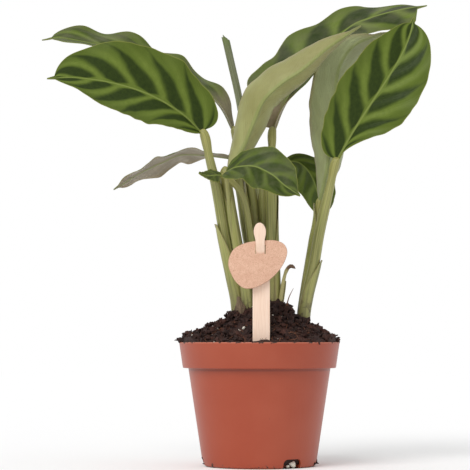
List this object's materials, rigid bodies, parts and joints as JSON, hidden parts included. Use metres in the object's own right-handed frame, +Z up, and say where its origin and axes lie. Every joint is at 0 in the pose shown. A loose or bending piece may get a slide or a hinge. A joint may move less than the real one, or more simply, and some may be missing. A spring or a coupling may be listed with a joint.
{
  "type": "potted calathea",
  "caption": "Small striped-leaf houseplant in a tapered round plastic nursery pot of soil, with a bare wooden label on a stick.",
  "frame": {"origin": "centre of the pot's flat underside, where it rests", "axes": "+Z up from the underside through the pot's mouth, -Y towards the side with the wooden label, +X to the right seen from that side"},
  "size_m": [0.2241, 0.0911, 0.2667],
  "materials": {
    "pot": "terracotta-coloured moulded plastic, satin, with a little soil on it",
    "soil": "dark damp potting soil, crumbly, with fibres and white grains",
    "label_stick": "pale raw wood with fine grain",
    "label_plate": "thin pinkish raw wood with a lighter cut edge, bare face",
    "leaf": "satin green leaf with dark and light stripes above, plain and paler below",
    "stalk": "satin olive-green stalk with a yellower swollen top",
    "furled_spear": "rolled young leaf, grey-green",
    "young_shoot": "fresh green shoot with a brown withered tip",
    "dead_sheath": "dry brown papery sheath"
  },
  "bodies": {
    "root": {"pot": "pot", "soil": "soil", "label_stick": "label_stick", "label_plate": "label_plate", "blade_front_left": "leaf", "blade_back_left": "leaf", "blade_low_left": "leaf", "blade_pale_centre": "leaf", "blade_upper_right": "leaf", "blade_pale_right": "leaf", "blade_front_right": "leaf", "blade_back_right": "leaf", "blade_front_middle": "leaf", "blade_small_left": "leaf", "stalk_front_left": "stalk", "stalk_back_left": "stalk", "stalk_low_left": "stalk", "stalk_pale_centre": "stalk", "stalk_upper_right": "stalk", "stalk_pale_right": "stalk", "stalk_front_right": "stalk", "stalk_back_right": "stalk", "stalk_front_middle": "stalk", "stalk_small_left": "stalk", "furled_spear": "furled_spear", "young_shoot": "young_shoot", "dead_sheath": "dead_sheath"}
  },
  "joints": []
}
